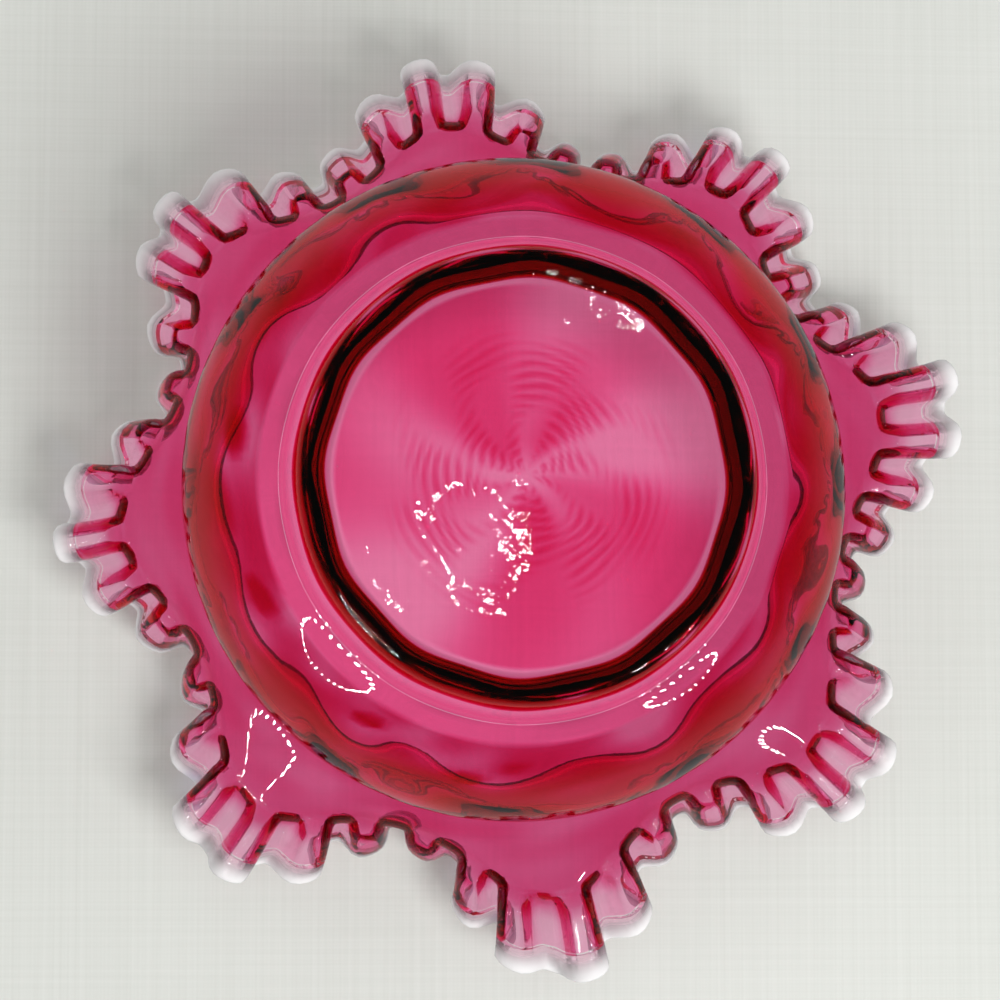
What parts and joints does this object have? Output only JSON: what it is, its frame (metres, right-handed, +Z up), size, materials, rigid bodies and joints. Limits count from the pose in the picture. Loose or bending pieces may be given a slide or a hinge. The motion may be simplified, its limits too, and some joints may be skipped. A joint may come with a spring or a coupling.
{
  "type": "brides basket bowl",
  "caption": "Blown cranberry glass bowl with a round foot, a swelling body, a short neck and a flared, double-crimped rim with a white crest; holds fruit or flowers.",
  "frame": {"origin": "middle of the flat under the foot, on the surface that the bowl stands on", "axes": "+Z up along the axis of the bowl, mouth upwards; X and Y across the mouth, one point of the rim lying near +X"},
  "size_m": [0.2511, 0.2547, 0.0948],
  "materials": {
    "clear_crystal": "fire-polished colourless crystal",
    "gold_ruby": "transparent cranberry gold ruby",
    "white_opal": "translucent milky opal"
  },
  "bodies": {
    "root": {"crystal_casing": "clear_crystal", "ruby_lining": "gold_ruby", "opal_crest": "white_opal"}
  },
  "joints": []
}
